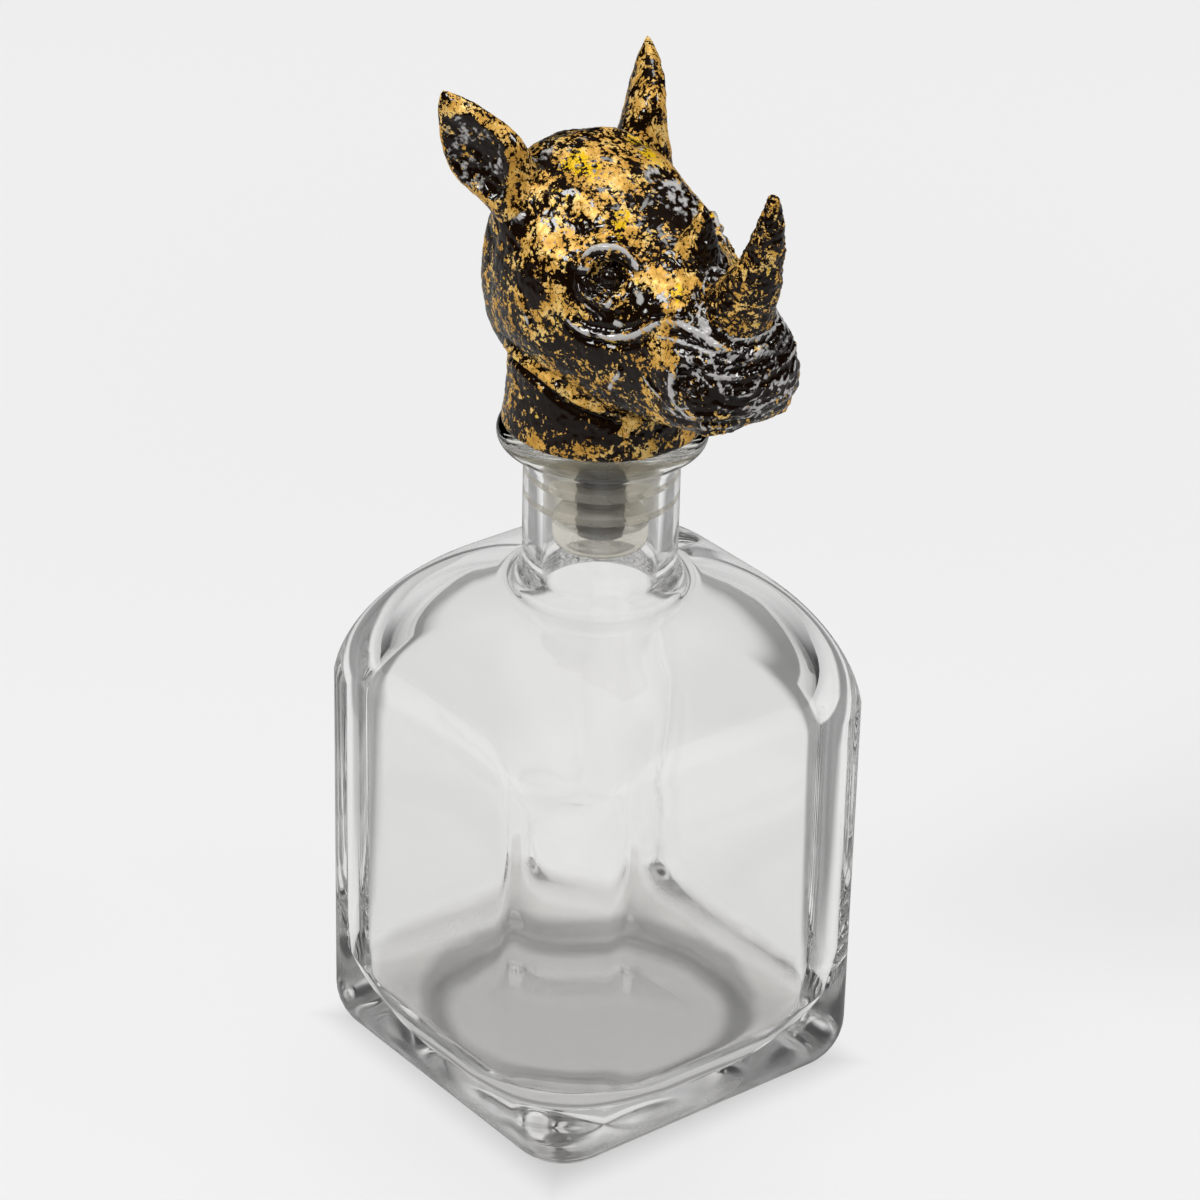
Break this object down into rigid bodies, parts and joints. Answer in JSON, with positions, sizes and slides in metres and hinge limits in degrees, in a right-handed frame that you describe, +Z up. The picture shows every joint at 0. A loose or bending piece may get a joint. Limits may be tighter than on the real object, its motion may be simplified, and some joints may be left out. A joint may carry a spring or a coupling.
{
  "type": "figural liquor decanter",
  "caption": "Square clear-glass decanter with a round neck, closed by a ring-sealed stopper topped with a cast animal head in black and gold.",
  "frame": {"origin": "middle of the flat ring that the bottle stands on, at table height", "axes": "+Z up along the neck, +X the way the head looks, faces of the body square to X and Y"},
  "size_m": [0.0859, 0.078, 0.1988],
  "materials": {
    "clear_glass": "clear, slightly wavy inside",
    "gilded_resin": "gloss black with rubbed gold leaf",
    "insert_brass": "turned",
    "stem_metal": "turned, dull grey",
    "seal_silicone": "translucent cream"
  },
  "bodies": {
    "bottle": {"glass_bottle": "clear_glass"},
    "seals": {"upper_seal_ring": "seal_silicone", "middle_seal_ring": "seal_silicone", "lower_seal_ring": "seal_silicone", "seal_end_plug": "seal_silicone"},
    "stopper": {"head_casting": "gilded_resin", "right_ear": "gilded_resin", "left_ear": "gilded_resin", "front_horn": "gilded_resin", "rear_horn": "gilded_resin", "threaded_insert": "insert_brass", "stopper_stem": "stem_metal"}
  },
  "joints": [
    {"name": "stopper_lift", "type": "slide", "parent": "bottle", "child": "seals", "axis": [0, 0, 1], "range_m": [0, 0.06]},
    {"name": "stopper_twist", "type": "hinge", "parent": "seals", "child": "stopper", "pos_m": [0, 0, 0.12], "axis": [0, 0, 1], "continuous": true}
  ]
}
